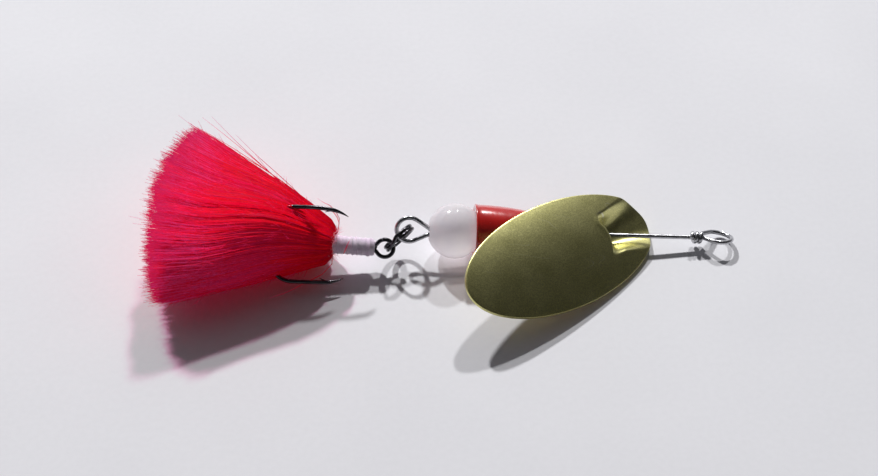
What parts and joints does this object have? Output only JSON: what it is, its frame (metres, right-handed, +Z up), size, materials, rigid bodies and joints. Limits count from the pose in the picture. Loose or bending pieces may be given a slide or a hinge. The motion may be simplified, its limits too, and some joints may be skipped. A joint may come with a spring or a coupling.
{
  "type": "in-line spinner lure",
  "caption": "In-line fishing spinner: wire shaft with line-tie eye, through-wire brass blade, red bell body, round bead and feather-dressed treble hook on a split ring.",
  "frame": {"origin": "centre of the line-tie eye", "axes": "+X the way the line pulls, seen from above; +Z up from the flat surface that the lure lies on; +Y to its left"},
  "size_m": [0.0797, 0.0304, 0.0159],
  "materials": {
    "shaft_wire": "bright drawn",
    "bearing_bead": "polished",
    "blade": "satin lacquered",
    "body_paint": "gloss",
    "pearl_bead": "milky translucent gloss",
    "hook_metal": "black nickel",
    "thread": "waxed thread",
    "hackle": "dyed hackle fibres"
  },
  "bodies": {
    "shaft": {"shaft_wire": "shaft_wire"},
    "bearing": {"bearing_bead": "bearing_bead"},
    "blade": {"blade": "blade"},
    "body": {"body_weight": "body_paint"},
    "bead": {"pearl_bead": "pearl_bead"},
    "ring": {"split_ring": "hook_metal"},
    "hook": {"hook_pair": "hook_metal", "hook_single": "hook_metal", "thread_wrap": "thread", "hackle_1": "hackle", "hackle_2": "hackle", "hackle_3": "hackle", "hackle_4": "hackle", "hackle_5": "hackle", "hackle_6": "hackle"}
  },
  "joints": [
    {"name": "blade_spin", "type": "hinge", "parent": "shaft", "child": "bearing", "pos_m": [-0.01755, 0, 0.00135], "axis": [-0.9971, 0, 0.0767], "continuous": true},
    {"name": "blade_swing", "type": "hinge", "parent": "bearing", "child": "blade", "pos_m": [-0.01471, 0, 0.00113], "axis": [0.024, 0.95, 0.3114], "range_deg": [0, 35]},
    {"name": "body_spin", "type": "hinge", "parent": "shaft", "child": "body", "pos_m": [-0.02692, 0, 0.00207], "axis": [-0.9971, 0, 0.0767], "continuous": true},
    {"name": "bead_spin", "type": "hinge", "parent": "shaft", "child": "bead", "pos_m": [-0.03589, 0, 0.00276], "axis": [-0.9971, 0, 0.0767], "continuous": true},
    {"name": "ring_swing", "type": "hinge", "parent": "shaft", "child": "ring", "pos_m": [-0.0434, -0.00051, 0.00224], "axis": [-0.6371, 0.3061, 0.7074], "range_deg": [-60, 30]},
    {"name": "hook_swing", "type": "hinge", "parent": "ring", "child": "hook", "pos_m": [-0.04518, -0.00198, 0.00169], "axis": [0.0363, -0.59, 0.8066], "range_deg": [-60, 80]}
  ]
}
